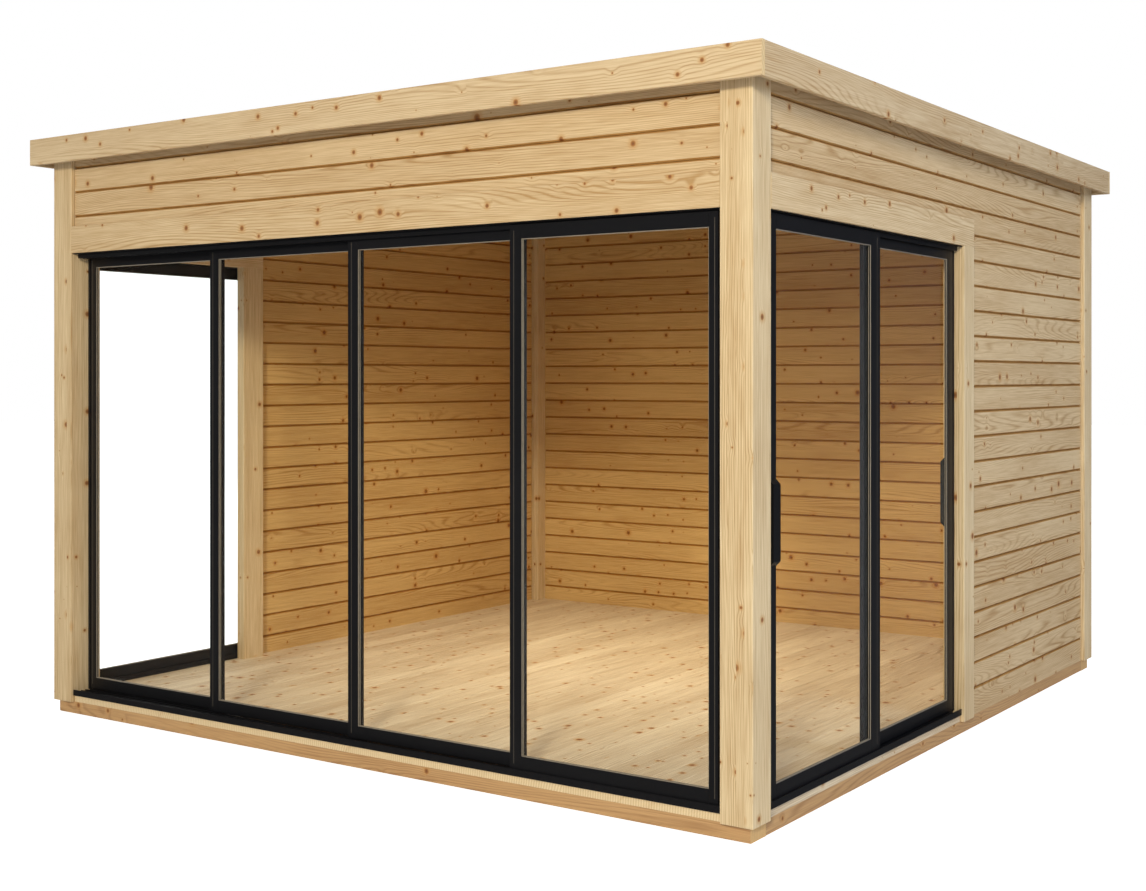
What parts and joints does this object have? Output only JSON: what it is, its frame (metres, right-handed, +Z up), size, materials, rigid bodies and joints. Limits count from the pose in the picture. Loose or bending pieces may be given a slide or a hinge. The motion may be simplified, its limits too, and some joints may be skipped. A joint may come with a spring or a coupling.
{
  "type": "garden house with sliding glass walls",
  "caption": "Flat-roofed timber garden house on a base frame, with board walls and black-framed sliding glass panels on the front and one side.",
  "frame": {"origin": "on the ground at the middle of the plan", "axes": "+Z up, -Y out of the four-panel front, +X to the right seen from the front"},
  "size_m": [3.64, 3.64, 2.5],
  "materials": {
    "post_timber": "planed spruce, untreated, satin",
    "wall_timber": "planed spruce boards with chamfered edges",
    "floor_timber": "planed spruce floor boards",
    "base_timber": "pressure-treated beam, brownish",
    "roof_timber": "planed spruce roof boards",
    "fascia_timber": "planed spruce board",
    "roof_felt": "mineral felt, matt",
    "panel_metal": "black powder-coated aluminium, satin",
    "track_metal": "black powder-coated aluminium, satin",
    "panel_glass": "clear toughened glass"
  },
  "bodies": {
    "house": {"base_frame": "base_timber", "floor_joists": "base_timber", "floor_deck": "floor_timber", "front_left_post": "post_timber", "front_right_post": "post_timber", "back_left_post": "post_timber", "back_right_post": "post_timber", "left_jamb_post": "post_timber", "right_jamb_post": "post_timber", "left_cover_batten": "post_timber", "front_lintel": "post_timber", "left_lintel": "post_timber", "right_lintel": "post_timber", "front_upper_wall": "wall_timber", "left_upper_wall": "wall_timber", "right_upper_wall": "wall_timber", "left_wall": "wall_timber", "right_wall": "wall_timber", "back_wall": "wall_timber", "roof_joists": "roof_timber", "roof_deck": "roof_timber", "roof_felt": "roof_felt", "fascia_front_back": "fascia_timber", "fascia_sides": "fascia_timber", "front_tracks": "track_metal", "front_jamb_profiles": "track_metal", "right_tracks": "track_metal", "right_jamb_profiles": "track_metal", "left_tracks": "track_metal", "left_window_frame": "panel_metal", "left_window_glass": "panel_glass"},
    "front_panel_1": {"front_panel_1_frame": "panel_metal", "front_panel_1_glass": "panel_glass"},
    "front_panel_2": {"front_panel_2_frame": "panel_metal", "front_panel_2_glass": "panel_glass"},
    "front_panel_3": {"front_panel_3_frame": "panel_metal", "front_panel_3_glass": "panel_glass"},
    "front_panel_4": {"front_panel_4_frame": "panel_metal", "front_panel_4_glass": "panel_glass"},
    "right_panel_1": {"right_panel_1_frame": "panel_metal", "right_panel_1_glass": "panel_glass"},
    "right_panel_2": {"right_panel_2_frame": "panel_metal", "right_panel_2_glass": "panel_glass"}
  },
  "joints": [
    {"name": "front_panel_1_slide", "type": "slide", "parent": "house", "child": "front_panel_1", "axis": [1, 0, 0], "range_m": [0, 2.385]},
    {"name": "front_panel_2_slide", "type": "slide", "parent": "house", "child": "front_panel_2", "axis": [1, 0, 0], "range_m": [-0.795, 1.59]},
    {"name": "front_panel_3_slide", "type": "slide", "parent": "house", "child": "front_panel_3", "axis": [1, 0, 0], "range_m": [-1.59, 0.795]},
    {"name": "front_panel_4_slide", "type": "slide", "parent": "house", "child": "front_panel_4", "axis": [1, 0, 0], "range_m": [-2.385, 0]},
    {"name": "right_panel_1_slide", "type": "slide", "parent": "house", "child": "right_panel_1", "axis": [0, 1, 0], "range_m": [0, 0.761]},
    {"name": "right_panel_2_slide", "type": "slide", "parent": "house", "child": "right_panel_2", "axis": [0, 1, 0], "range_m": [-0.761, 0]}
  ]
}
